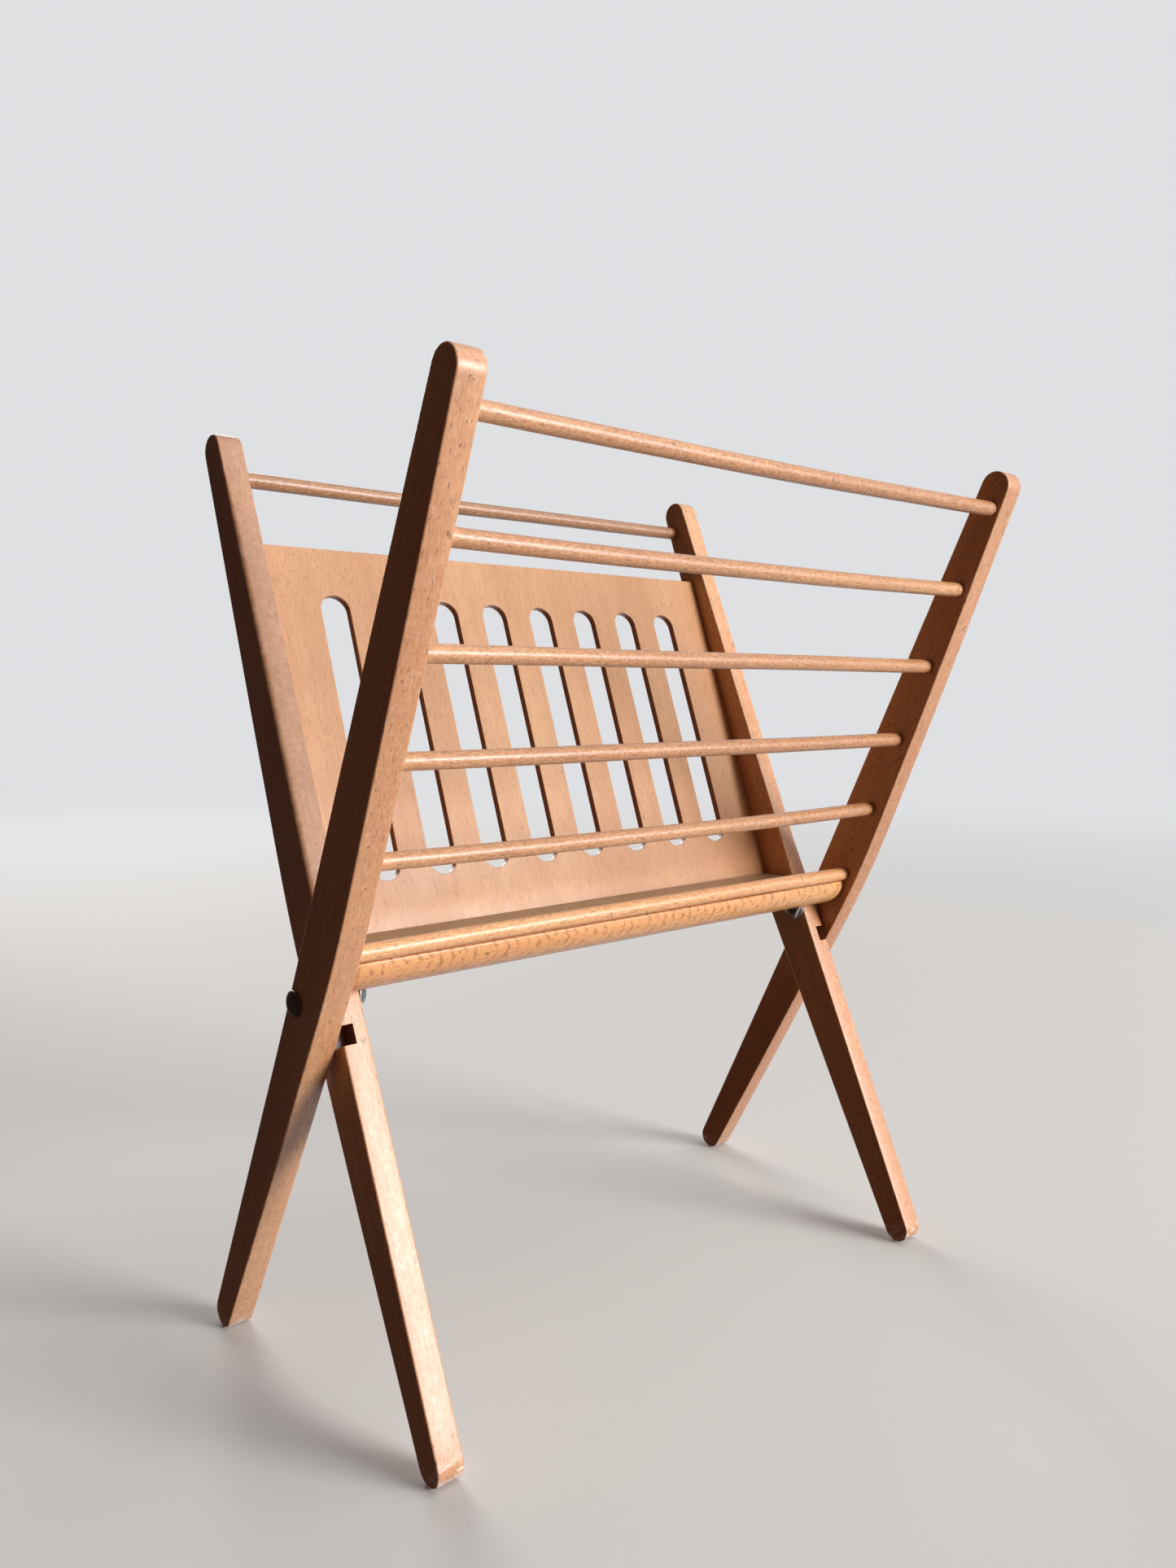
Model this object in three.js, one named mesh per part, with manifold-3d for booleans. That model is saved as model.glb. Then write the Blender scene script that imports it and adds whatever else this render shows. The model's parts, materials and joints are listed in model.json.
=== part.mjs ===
// A folding beech magazine rack: two crossed frames that turn on one pair of pivot bolts.
//
// Millimetres. +X runs along the rungs, -Y is the front (the rung side), +Z is up and z = 0 is the floor.
// The outer frame is two side boards joined by six rungs. The inner frame stands between them: two side
// boards, a top rung, a slotted plywood panel, a floor rail and a front rail with a rounded underside.
// All four side boards share one outline, nearly straight on the edge next to the pivot and bellied on
// the other edge, but the inner boards' tips stand a little higher than the outer boards'.

import * as THREE from 'three';
import { mergeVertices } from 'three/addons/utils/BufferGeometryUtils.js';
import Module from 'manifold-3d';

const wasm = await Module();
wasm.setup();

// ---- Driving dimensions ----

const rackWidth = 450;              // over the outer faces of the outer boards
const boardThickness = 16;
const boardSpacing = 2.8;           // between an outer board and the inner board beside it
const pivotHeight = 226;
const lean = degrees(25.2);         // outer frame's tops lean forward, inner frame's tops lean back
const gap = 0.3;                    // left between pieces that touch

// Side board outline, in the board's own plane: u runs up the board from the pivot, v towards its belly.
const outline = {
  tip: { v: -3.6, radius: 10.2 },
  foot: { v: 1.9, radius: 9.2 },
  belly: [
    { u: -140, v: 17 },
    { u: -50, v: 21.8 },
    { u: 45, v: 25.2 },
    { u: 140, v: 20.4 },
    { u: 235, v: 14.1 },
  ],
  waist: { u: -1, v: -6.6, blendDown: 46, blendUp: 73 },
};
const easedEdge = 0.9;
const outerTipHeight = 333.4;       // up the board from the pivot to the centre of the round tip
const innerTipHeight = 338.2;

// Rungs of the outer frame, from the top down: place up the board and towards its belly.
const rungDiameter = 9.6;
const rungSeat = 8;                 // how deep a rung's end goes into its board
const rungSteps = 5;
const topRungPlace = { u: 319.6, v: 0.6 };
const fifthRungPlace = { u: 94.2, v: 10.8 };
const innerRungPlace = { u: 324.8, v: 2.6 };

// Rails and panel of the inner frame. Heights are above the floor; y is measured from the pivot.
const rail = {
  top: 250,
  front: -30.7,
  band: 4.5,                        // upright band along the top of the rail's front
  underside: 229.8,
  swell: { forward: 4.3, down: 2 }, // corner that the round between band and underside is drawn towards
  rungSetBack: 1.6,                 // the sixth rung rests this far behind the rail's front
};
const railClearance = 1.1;          // from a board's straight edge, as drawn, to the front rail's back
const floorRailThickness = 12;
const panelLean = degrees(21);
const panelFoot = { y: 29.9, height: 251.1 };
const panelLength = 243.2;
const panelThickness = 5;
const panelBelowFloor = 10;         // the panel runs this far down behind the floor rail
const housingDepth = 6;             // how deep the panel and the floor rail go into the boards
const slot = { count: 8, pitch: 41, width: 20, below: 31.4, length: 183.7 };

// Pivot hardware.
const bolt = { shank: 6, head: 14.4, rim: 0.4, dome: 2.8, neck: 6, neckDepth: 4, beyondNut: 0.6 };
const spacerDiameter = 14;
const washer = { outside: 14, thickness: 1 };
const squareNut = { across: 10.4, thickness: 3.6, chamfer: degrees(30) };
const nutTurn = { left: 0, right: lean };   // where each nut came to rest when it was tightened

// Notch in the outer half of each inner board's front edge, square to the board, just below the pivot.
const notch = { below: 22.7, height: 11, width: 8, floor: 3.8 };

// How the shapes are drawn.
const roundSides = 28;
const outlineSteps = 6;             // drawing steps along each curve of a board's outline
const slotSteps = 8;                // and along each curve of the panel's slots
const railSteps = 10;               // and along the front rail's round
const domeSteps = 5;
const overshoot = 1;                // how far a cutter reaches past the face it opens

// ---- Derived places ----

const outerFace = rackWidth / 2;
const outerInside = outerFace - boardThickness;
const innerFace = outerInside - boardSpacing;
const innerInside = innerFace - boardThickness;

// ---- Materials ----

const beech = wood(0xd9a679, 0.5);
const beechRung = wood(0xe0ae7c, 0.42);
const beechRail = wood(0xe2a96b, 0.45);
const plywood = wood(0xd6a582, 0.5);
const darkSteel = metal(0x4c4d4d, 0.45);
const zincSteel = metal(0x8b8d8c, 0.4);

function wood(color, roughness) {
  return new THREE.MeshStandardMaterial({ color, roughness, metalness: 0 });
}

function metal(color, roughness) {
  return new THREE.MeshStandardMaterial({ color, roughness, metalness: 1 });
}

// ---- Helpers ----

function degrees(angle) {
  return THREE.MathUtils.degToRad(angle);
}

function part(name, geometry, material) {
  const mesh = new THREE.Mesh(geometry, material);
  mesh.name = name;
  return mesh;
}

function solid(geometry) {
  const bare = geometry.clone();
  bare.deleteAttribute('normal');
  bare.deleteAttribute('uv');
  const welded = mergeVertices(bare, 1e-4);
  return new wasm.Manifold(new wasm.Mesh({
    numProp: 3,
    vertProperties: new Float32Array(welded.attributes.position.array),
    triVerts: new Uint32Array(welded.index.array),
  }));
}

function fromSolid(manifold) {
  const mesh = manifold.getMesh();
  const geometry = new THREE.BufferGeometry();
  geometry.setAttribute('position', new THREE.BufferAttribute(new Float32Array(mesh.vertProperties), 3));
  geometry.setIndex(new THREE.BufferAttribute(new Uint32Array(mesh.triVerts), 1));
  const faceted = geometry.toNonIndexed();
  faceted.computeVertexNormals();
  return faceted;
}

function cut(base, cutters) {
  return fromSolid(cutters.reduce((left, cutter) => left.subtract(solid(cutter)), solid(base)));
}

function join(pieces) {
  return pieces.map(solid).reduce((whole, piece) => whole.add(piece));
}

// Stands a drawing made in the (y, z) plane on its side: drawing x to +Y, drawing y to +Z, depth to +X.
function sideways(geometry) {
  const toSide = new THREE.Matrix4().makeBasis(
    new THREE.Vector3(0, 1, 0),
    new THREE.Vector3(0, 0, 1),
    new THREE.Vector3(1, 0, 0),
  );
  return geometry.applyMatrix4(toSide);
}

// A round bar along X between two x values, at (y, z).
function barAlongX(diameter, fromX, toX, y, z) {
  const length = Math.abs(toX - fromX);
  const bar = new THREE.CylinderGeometry(diameter / 2, diameter / 2, length, roundSides);
  bar.rotateZ(Math.PI / 2);
  return bar.translate((fromX + toX) / 2, y, z);
}

function block(fromX, toX, fromY, toY, fromZ, toZ) {
  const box = new THREE.BoxGeometry(Math.abs(toX - fromX), toY - fromY, toZ - fromZ);
  return box.translate((fromX + toX) / 2, (fromY + toY) / 2, (fromZ + toZ) / 2);
}

// A prism of a (y, z) drawing from one x value to another.
function prism(shape, fromX, toX, curveSegments = slotSteps) {
  const low = Math.min(fromX, toX);
  const depth = Math.abs(toX - fromX);
  const geometry = new THREE.ExtrudeGeometry(shape, { depth, bevelEnabled: false, curveSegments });
  return sideways(geometry).translate(low, 0, 0);
}

// ---- Side boards ----

// How far down the board the foot's centre lies, so that the leaning board stands on the floor.
function footBelowPivot() {
  return (pivotHeight - outline.foot.radius - outline.foot.v * Math.sin(lean)) / Math.cos(lean);
}

// A point part of the way from one outline point to the next.
function along(from, to, distance) {
  return from.clone().lerp(to, distance / from.distanceTo(to));
}

// The outline drawn with its belly towards +v, then turned over for boards with their belly forward.
function boardShape(tipHeight, bellyForward) {
  const { tip, foot, belly, waist } = outline;
  const footU = -footBelowPivot();
  const bellyLine = belly.map(({ u, v }) => new THREE.Vector2(v, u));
  const bellyTip = new THREE.Vector2(tip.v + tip.radius, tipHeight);
  const waistTip = new THREE.Vector2(tip.v - tip.radius, tipHeight);
  const waistPoint = new THREE.Vector2(waist.v, waist.u);
  const waistFoot = new THREE.Vector2(foot.v - foot.radius, footU);
  const waistStart = along(waistPoint, waistTip, waist.blendUp);
  const waistEnd = along(waistPoint, waistFoot, waist.blendDown);

  const shape = new THREE.Shape();
  shape.absarc(foot.v, footU, foot.radius, Math.PI, 2 * Math.PI, false);
  shape.splineThru([...bellyLine, bellyTip]);
  shape.absarc(tip.v, tipHeight, tip.radius, 0, Math.PI, false);
  shape.lineTo(waistStart.x, waistStart.y);
  shape.quadraticCurveTo(waistPoint.x, waistPoint.y, waistEnd.x, waistEnd.y);
  shape.closePath();
  if (!bellyForward) {
    return shape;
  }
  const mirrored = shape.getPoints(outlineSteps).map((point) => new THREE.Vector2(-point.x, point.y));
  return new THREE.Shape(mirrored.reverse());
}

// A blank board with eased edges, between two x values.
function boardBlank(shape, lowX) {
  const blank = new THREE.ExtrudeGeometry(shape, {
    depth: boardThickness - 2 * easedEdge,
    bevelEnabled: true,
    bevelThickness: easedEdge,
    bevelSize: easedEdge,
    bevelOffset: -easedEdge,
    bevelSegments: 1,
    curveSegments: outlineSteps,
  });
  return sideways(blank).translate(lowX + easedEdge, 0, 0);
}

function pivotHole(side, fromX, toX) {
  return barAlongX(bolt.shank + 2 * gap, side * fromX, side * toX, 0, 0);
}

// An outer board: rung holes in its inner face, and the pivot hole with a square for the bolt's neck.
function outerBoard(side) {
  const lowX = side < 0 ? -outerFace : outerInside;
  const blank = boardBlank(boardShape(outerTipHeight, true), lowX);
  const holeX = [side * (outerInside - overshoot), side * (outerInside + rungSeat + gap)];
  const rungHoles = rungPlaces().map(({ y, z }) => barAlongX(rungDiameter + 2 * gap, ...holeX, y, z));
  const half = bolt.neck / 2 + gap;
  const neckX = [side * (outerFace - bolt.neckDepth - gap), side * (outerFace + overshoot)];
  const neckHole = block(...neckX, -half, half, -half, half);
  const boltHole = pivotHole(side, outerInside - overshoot, outerFace + overshoot);
  return cut(blank, [...rungHoles, boltHole, neckHole]);
}

// An inner board: seats for the top rung, panel and floor rail, the pivot hole, and the notch.
function innerBoard(side) {
  const lowX = side < 0 ? -innerFace : innerInside;
  const blank = boardBlank(boardShape(innerTipHeight, false), lowX);
  const seatX = [side * (innerInside - overshoot), side * (innerInside + housingDepth + gap)];
  const rungHole = barAlongX(
    rungDiameter + 2 * gap,
    side * (innerInside - overshoot),
    side * (innerInside + rungSeat + gap),
    innerRungPlace.v,
    innerRungPlace.u,
  );
  const panelGroove = prism(panelSection(gap), ...seatX);
  const railHousing = prism(floorRailSection(gap), ...seatX);
  const edgeNotch = block(
    side * (innerFace - notch.width),
    side * (innerFace + overshoot),
    2 * outline.waist.v,
    notch.floor,
    -notch.below - notch.height / 2,
    -notch.below + notch.height / 2,
  );
  const hole = pivotHole(side, innerInside - overshoot, innerFace + overshoot);
  const cutters = [toInnerFrame(panelGroove), toInnerFrame(railHousing)];
  return cut(blank, [rungHole, hole, edgeNotch, ...cutters]);
}

// ---- Rungs ----

// Rungs one to five are evenly spaced; the sixth rests on the front rail and stops the rack opening further.
function rungPlaces() {
  const places = [];
  for (let step = 0; step < rungSteps; step += 1) {
    const t = step / (rungSteps - 1);
    places.push({
      y: -THREE.MathUtils.lerp(topRungPlace.v, fifthRungPlace.v, t),
      z: THREE.MathUtils.lerp(topRungPlace.u, fifthRungPlace.u, t),
    });
  }
  const restHeight = rail.top - pivotHeight + gap + rungDiameter / 2;
  const resting = new THREE.Vector3(0, rail.front + rail.rungSetBack, restHeight);
  resting.applyAxisAngle(new THREE.Vector3(1, 0, 0), -lean);
  places.push({ y: resting.y, z: resting.z });
  return places;
}

function rung(halfLength, y, z) {
  return barAlongX(rungDiameter, -halfLength, halfLength, y, z);
}

// ---- Inner frame: rails and panel, drawn upright with the pivot at the origin ----

// Turns a piece drawn upright into the leaning frame of the inner boards.
function toInnerFrame(geometry) {
  return geometry.rotateX(lean);
}

// Unit vectors of the panel's section in the (y, z) plane: up its face, and through it to the back.
const panelUp = new THREE.Vector2(Math.sin(panelLean), Math.cos(panelLean));
const panelThrough = new THREE.Vector2(Math.cos(panelLean), -Math.sin(panelLean));

// A point of the panel's section, from the place where its front face meets the floor rail's top.
function panelPoint(up, through) {
  const point = new THREE.Vector2(panelFoot.y, panelFoot.height - pivotHeight);
  return point.addScaledVector(panelUp, up).addScaledVector(panelThrough, through);
}

// The panel seen from its edge, grown by a margin.
function panelSection(margin) {
  const bottom = -panelBelowFloor - margin;
  const top = panelLength + margin;
  return new THREE.Shape([
    panelPoint(bottom, -margin),
    panelPoint(bottom, panelThickness + margin),
    panelPoint(top, panelThickness + margin),
    panelPoint(top, -margin),
  ]);
}

// Where the line of the panel's front face lies at a height above the pivot.
function panelFaceAt(z) {
  return panelFoot.y + (z - panelFoot.height + pivotHeight) * Math.tan(panelLean);
}

// Where the back of the front rail lies: just clear of the inner boards' front edges.
function railBackAt(z) {
  const offEdge = outline.waist.v - railClearance;
  return offEdge / Math.cos(lean) + z * Math.tan(lean);
}

// The floor rail seen from its end: square at the front, bevelled at the back to lie against the panel.
function floorRailSection(margin) {
  const top = rail.top - pivotHeight;
  const bottom = top - floorRailThickness;
  const front = railBackAt(top) + gap;
  const toPanel = gap / Math.cos(panelLean);
  return new THREE.Shape([
    new THREE.Vector2(front - margin, bottom - margin),
    new THREE.Vector2(panelFaceAt(bottom - margin) - toPanel, bottom - margin),
    new THREE.Vector2(panelFaceAt(top + margin) - toPanel, top + margin),
    new THREE.Vector2(front - margin, top + margin),
  ]);
}

// The panel is drawn flat, x across and y up from the floor rail, then stood at its own lean.
function slottedPanel() {
  const halfWidth = innerInside + housingDepth;
  const shape = new THREE.Shape();
  shape.moveTo(-halfWidth, -panelBelowFloor);
  shape.lineTo(halfWidth, -panelBelowFloor);
  shape.lineTo(halfWidth, panelLength);
  shape.lineTo(-halfWidth, panelLength);
  shape.closePath();
  const radius = slot.width / 2;
  const topCentre = panelLength - slot.below - radius;
  const bottomCentre = topCentre - slot.length + 2 * radius;
  for (let index = 0; index < slot.count; index += 1) {
    const x = (index - (slot.count - 1) / 2) * slot.pitch;
    const hole = new THREE.Path();
    hole.absarc(x, topCentre, radius, 0, Math.PI, false);
    hole.absarc(x, bottomCentre, radius, Math.PI, 2 * Math.PI, false);
    hole.closePath();
    shape.holes.push(hole);
  }
  const sheet = new THREE.ExtrudeGeometry(shape, {
    depth: panelThickness,
    bevelEnabled: false,
    curveSegments: 6,
  });
  sheet.translate(0, 0, -panelThickness);
  sheet.rotateX(Math.PI / 2 - panelLean);
  return sheet.translate(0, panelFoot.y, panelFoot.height - pivotHeight);
}

function floorRailPiece() {
  const half = innerInside + housingDepth;
  return prism(floorRailSection(0), -half, half);
}

// The front rail: flat on top, upright at the front for a narrow band, then rounded away underneath.
function frontRailPiece() {
  const top = rail.top - pivotHeight;
  const underside = rail.underside - pivotHeight;
  const shape = new THREE.Shape();
  shape.moveTo(railBackAt(top), top);
  shape.lineTo(rail.front, top);
  shape.lineTo(rail.front, top - rail.band);
  shape.quadraticCurveTo(
    rail.front + rail.swell.forward,
    underside + rail.swell.down,
    railBackAt(underside),
    underside,
  );
  shape.closePath();
  return prism(shape, -innerFace, innerFace, railSteps);
}

// ---- Pivot hardware, drawn along +X from x = 0 and placed by its group ----

// A body of revolution about X. The profile runs from the axis back to the axis as (along, radius) pairs.
function turned(profile) {
  const points = profile.map(([x, radius]) => new THREE.Vector2(radius, x));
  const lathe = new THREE.LatheGeometry(points, roundSides);
  return lathe.rotateZ(-Math.PI / 2);
}

// A ring about X with a closed profile.
function ring(outside, inside, thickness) {
  return turned([
    [0, inside / 2],
    [0, outside / 2],
    [thickness, outside / 2],
    [thickness, inside / 2],
    [0, inside / 2],
  ]);
}

// The domed bolt points along +X: the head's flat is at x = 0 and the shank runs away from it.
function carriageBolt(length) {
  const headRadius = bolt.head / 2;
  const profile = [[-bolt.rim - bolt.dome, 0]];
  for (let step = 1; step <= domeSteps; step += 1) {
    const t = (step / domeSteps) * (Math.PI / 2);
    profile.push([-bolt.rim - bolt.dome * Math.cos(t), headRadius * Math.sin(t)]);
  }
  profile.push([0, headRadius]);
  profile.push([0, bolt.shank / 2]);
  profile.push([length, bolt.shank / 2]);
  profile.push([length, 0]);
  const half = bolt.neck / 2;
  const neck = block(-bolt.rim, bolt.neckDepth, -half, half, -half, half);
  return fromSolid(join([turned(profile), neck]));
}

// A square nut with its seat at x = 0. The corners of its outer face are chamfered by a cone.
function squareNutPiece() {
  const { across, thickness, chamfer } = squareNut;
  const half = across / 2;
  const beyondCorners = across;
  const blank = block(0, thickness, -half, half, -half, half);
  const cone = turned([
    [0, 0],
    [0, beyondCorners],
    [thickness - (beyondCorners - half) * Math.tan(chamfer), beyondCorners],
    [thickness, half],
    [thickness, 0],
  ]);
  const bore = barAlongX(bolt.shank + 2 * gap, -overshoot, thickness + overshoot, 0, 0);
  return fromSolid(solid(blank).intersect(solid(cone)).subtract(solid(bore)));
}

// ---- Assembly ----

const sides = [
  { name: 'left', side: -1 },
  { name: 'right', side: 1 },
];

function outerFrame() {
  const frame = new THREE.Group();
  for (const { name, side } of sides) {
    frame.add(part(`outer_board_${name}`, outerBoard(side), beech));
    frame.add(pivotBolt(name, side));
  }
  rungPlaces().forEach(({ y, z }, index) => {
    frame.add(part(`rung_${index + 1}`, rung(outerInside + rungSeat, y, z), beechRung));
  });
  frame.rotation.x = lean;
  return frame;
}

function pivotBolt(name, side) {
  const nutSeat = innerInside - gap - washer.thickness - gap;
  const length = outerFace + gap - nutSeat + squareNut.thickness + bolt.beyondNut;
  const mesh = part(`pivot_bolt_${name}`, carriageBolt(length), darkSteel);
  mesh.position.x = side * (outerFace + gap);
  mesh.rotation.y = side < 0 ? 0 : Math.PI;
  return mesh;
}

function innerFrame() {
  const frame = new THREE.Group();
  for (const { name, side } of sides) {
    frame.add(part(`inner_board_${name}`, innerBoard(side), beech));
  }
  const topRung = rung(innerInside + rungSeat, innerRungPlace.v, innerRungPlace.u);
  frame.add(part('top_rung', topRung, beechRung));
  frame.rotation.x = -lean;
  return frame;
}

function panelAndRails() {
  const frame = new THREE.Group();
  frame.add(part('slotted_panel', slottedPanel(), plywood));
  frame.add(part('floor_rail', floorRailPiece(), beech));
  frame.add(part('front_rail', frontRailPiece(), beechRail));
  return frame;
}

// The spacer washer between the boards, and the washer and square nut on the inner board's inner face.
function pivotStack(name, side) {
  const stack = new THREE.Group();
  const bore = bolt.shank + 2 * gap;
  const spacerThickness = boardSpacing - 2 * gap;
  const spacer = part(`spacer_washer_${name}`, ring(spacerDiameter, bore, spacerThickness), zincSteel);
  const plain = part(`nut_washer_${name}`, ring(washer.outside, bore, washer.thickness), zincSteel);
  const nut = part(`square_nut_${name}`, squareNutPiece(), zincSteel);
  const turn = side < 0 ? 0 : Math.PI;
  spacer.position.x = side * (outerInside - gap);
  plain.position.x = side * (innerInside - gap);
  nut.position.x = side * (innerInside - washer.thickness - 2 * gap);
  for (const mesh of [spacer, plain, nut]) {
    mesh.rotation.y = turn;
  }
  nut.rotation.x = nutTurn[name];
  stack.add(spacer, plain, nut);
  return stack;
}

function rack() {
  const whole = new THREE.Group();
  const atPivot = new THREE.Group();
  atPivot.add(outerFrame(), innerFrame(), panelAndRails());
  for (const { name, side } of sides) {
    atPivot.add(pivotStack(name, side));
  }
  whole.add(atPivot);

  // Centre the rack front to back over the origin and stand its feet on the floor.
  whole.updateMatrixWorld(true);
  const extent = new THREE.Box3().setFromObject(whole, true);
  atPivot.position.y = -(extent.min.y + extent.max.y) / 2;
  atPivot.position.z = -extent.min.z;
  return whole;
}

export default rack();
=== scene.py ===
"""The looks of a folding beech magazine rack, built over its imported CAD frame.

Metres. +X runs along the rungs, -Y is the front (the rung side), +Z is up and z = 0 is the floor.
Every piece rides on the CAD body that it belongs to, and places come from the boxes of the CAD nodes.
"""

import json
import math
import random

import bmesh
import bpy
from mathutils import Matrix, Vector


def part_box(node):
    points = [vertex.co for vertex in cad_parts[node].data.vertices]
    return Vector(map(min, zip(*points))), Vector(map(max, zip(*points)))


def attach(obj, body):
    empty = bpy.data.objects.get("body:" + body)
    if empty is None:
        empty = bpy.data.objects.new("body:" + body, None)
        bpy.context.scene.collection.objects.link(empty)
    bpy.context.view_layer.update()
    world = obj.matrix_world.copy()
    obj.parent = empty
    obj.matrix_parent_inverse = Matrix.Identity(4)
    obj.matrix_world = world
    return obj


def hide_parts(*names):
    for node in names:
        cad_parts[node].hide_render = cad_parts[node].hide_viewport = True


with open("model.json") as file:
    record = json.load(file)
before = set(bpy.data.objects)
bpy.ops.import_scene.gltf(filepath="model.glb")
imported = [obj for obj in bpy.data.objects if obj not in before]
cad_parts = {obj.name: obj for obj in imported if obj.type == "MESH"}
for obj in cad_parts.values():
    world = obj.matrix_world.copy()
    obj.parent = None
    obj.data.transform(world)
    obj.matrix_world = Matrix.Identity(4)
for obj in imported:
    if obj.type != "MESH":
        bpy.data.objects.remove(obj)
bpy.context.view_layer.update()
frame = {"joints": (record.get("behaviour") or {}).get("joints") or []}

MM = 0.001
WELD_DISTANCE = 1e-7         # metres within which points count as one
SIDES = {"left": -1, "right": 1}

# ---- Driving dimensions, in millimetres ----

TIP_RADIUS = 10.2
FOOT_RADIUS = 9.2
TIP_V = -3.6                 # the tip's centre, away from the belly
BELLY = [(-140, 17), (-50, 21.8), (45, 25.2), (140, 20.4), (235, 14.1)]
WAIST = (-1, -6.6)           # the bend in a board's nearly straight edge
WAIST_BLEND = (46, 73)       # how far the bend's rounding runs down and up the board
ARRIS = 1.1                  # rounding of a board's edges
ARRIS_STEPS = 5
WORN_ARRIS = 3.2             # rounding of an inner board's front edge on its outer side
WORN_FROM = 20               # that rounding starts this far above the pivot
WORN_TO = 320                # and ends this far above it
WORN_FADE_IN = 30
WORN_FADE_OUT = 40
WAIST_SIDE = 4               # an outline point with a smaller v is on the waist side
WEAR_BAND = 1.8              # how far wear reaches onto a board's faces
SCUFF_TOP = -234             # where the scuffs on a foot begin, down the board from the pivot
SCUFF_FADE = 8
UPPER_SHADE_RANGE = (-10, 60)      # up the board from the pivot, where one inner board's upper part is painted darker, as shade
ARC_STEPS = 14
SPLINE_STEPS = 12
UPPER_STEPS = 16             # points on the waist side's straight run above the bend
LOWER_STEPS = 12             # and below it
BORE_SIDES = 48

NOTCH_HEIGHT = 11
NOTCH_WIDTH = 8
NOTCH_BELOW_PIVOT = 22.7
NOTCH_FLOOR = 3.8

RUNG_SIDES = 40
RUNG_RINGS = 60
RUNG_SWAY = 0.5              # the most that a rung bends sideways
RUNG_WAVE = 0.15             # height of the slow waves along a rung
RUNG_THINNING = 0.006        # how much a rung's radius dips between its thickest places, as a fraction
RUNG_SAG = {                 # how far each rung has warped at mid-span, up being positive
    "rung_1": -1.6,
    "rung_2": -1.5,
    "rung_3": 0.3,
    "rung_4": -0.4,
    "rung_5": -1.5,
    "rung_6": 0.7,
    "top_rung": -0.5,
}

PANEL_THICKNESS = 5
PANEL_EASE = 0.5             # rounding of the edges of the panel and its slots
PLY_PAIR = 2.5               # thickness of one dark and one light ply together
SLOT_COUNT = 8
SLOT_PITCH = 41
SLOT_WIDTH = 20
SLOT_BELOW_TOP = 31.4
SLOT_LENGTH = 183.7
SLOT_END_STEPS = 24
PANEL_LEAN = math.radians(21)

RAIL_BAND = 4.5
RAIL_SWELL = (4.3, 2)        # corner that the round under the rail is drawn towards
RAIL_EASE = 1.2
RAIL_END_EASE = 1.0
RAIL_ROUND_STEPS = 12
RAIL_STATIONS = 24           # even steps along a rail
EASE_STEPS = 4               # drawing steps on an eased corner
FLOOR_RAIL_EASE = 0.6
FLOOR_RAIL_END_EASE = 0.4
ARC_PITCH = 7.5              # between the brown arcs in the front rail's grain
ARC_HEIGHT = 9
ARC_BOW = 0.7

BOLT_SHANK = 6
BOLT_DOME = 2.8
BOLT_RIM = 0.4
BOLT_NECK = 6
BOLT_NECK_DEPTH = 4
BOLT_TIP_CHAMFER = (0.5, 0.6)   # along the bolt and off its radius
DOME_STEPS = 14
TURNED_SIDES = 64
WASHER_BORE = 6.6
WASHER_ROUND = 0.25
WASHER_EDGE = 0.1
NUT_ACROSS = 10.4
NUT_CHAMFER = math.radians(30)
NUT_PLAY = 0.05              # between the nut's bore and the bolt
NUT_COUNTERSINK = 0.5
NUT_EDGE = 0.1
NUT_BEVEL = 0.2
NUT_SIDES = 96

SEEDS = {                    # each piece's own chance: side pieces add their side, rungs their number
    "outer_board": 11,
    "notch": 15,
    "inner_board": 21,
    "pivot_bolt": 31,
    "nut_washer": 41,
    "spacer_washer": 51,
    "square_nut": 61,
    "rung": 80,
    "top_rung": 90,
    "panel": 101,
    "floor_rail": 111,
    "front_rail": 121,
}
ALONG_X = 0                  # grain directions, as axes of a piece's own coordinates
ALONG_Y = 1
ALONG_Z = 2

# ---- Places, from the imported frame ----

FOLD = next(joint for joint in frame["joints"] if joint["name"] == "fold")
PIVOT = Vector(FOLD["pos_m"])


def middle(node):
    """The middle of a CAD node's box."""
    low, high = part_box(node)
    return (low + high) / 2


def size(node):
    low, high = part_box(node)
    return high - low


def board_ends(node, tops_lean):
    """A leaning board's round tip and foot centres; tops_lean is -1 for forward and 1 for back."""
    low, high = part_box(node)
    tip_y = high.y - TIP_RADIUS * MM if tops_lean > 0 else low.y + TIP_RADIUS * MM
    foot_y = low.y + FOOT_RADIUS * MM if tops_lean > 0 else high.y - FOOT_RADIUS * MM
    x = (low.x + high.x) / 2
    tip = Vector((x, tip_y, high.z - TIP_RADIUS * MM))
    foot = Vector((x, foot_y, low.z + FOOT_RADIUS * MM))
    return tip, foot


def board_frame(node, tops_lean):
    """A board's own axes: origin at the pivot, X through its thickness, Y towards its belly, Z up the board.

    Gives the matrix and, in millimetres, the places of the tip and foot centres in it.
    """
    tip, foot = board_ends(node, tops_lean)
    to_tip = tip - Vector((tip.x, PIVOT.y, PIVOT.z))
    reach = to_tip.length / MM
    tip_u = math.sqrt(reach ** 2 - TIP_V ** 2)
    lean = math.atan2(abs(to_tip.y), to_tip.z) + math.atan2(abs(TIP_V), tip_u)
    up = Vector((0, tops_lean * math.sin(lean), math.cos(lean)))
    belly = Vector((0, tops_lean * math.cos(lean), -math.sin(lean)))
    across = belly.cross(up)
    matrix = Matrix((across, belly, up)).transposed().to_4x4()
    matrix.translation = Vector((tip.x, PIVOT.y, PIVOT.z))
    to_foot = foot - matrix.translation
    return matrix, tip_u, (to_foot.dot(up) / MM, to_foot.dot(belly) / MM)


# ---- Mesh helpers ----

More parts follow.
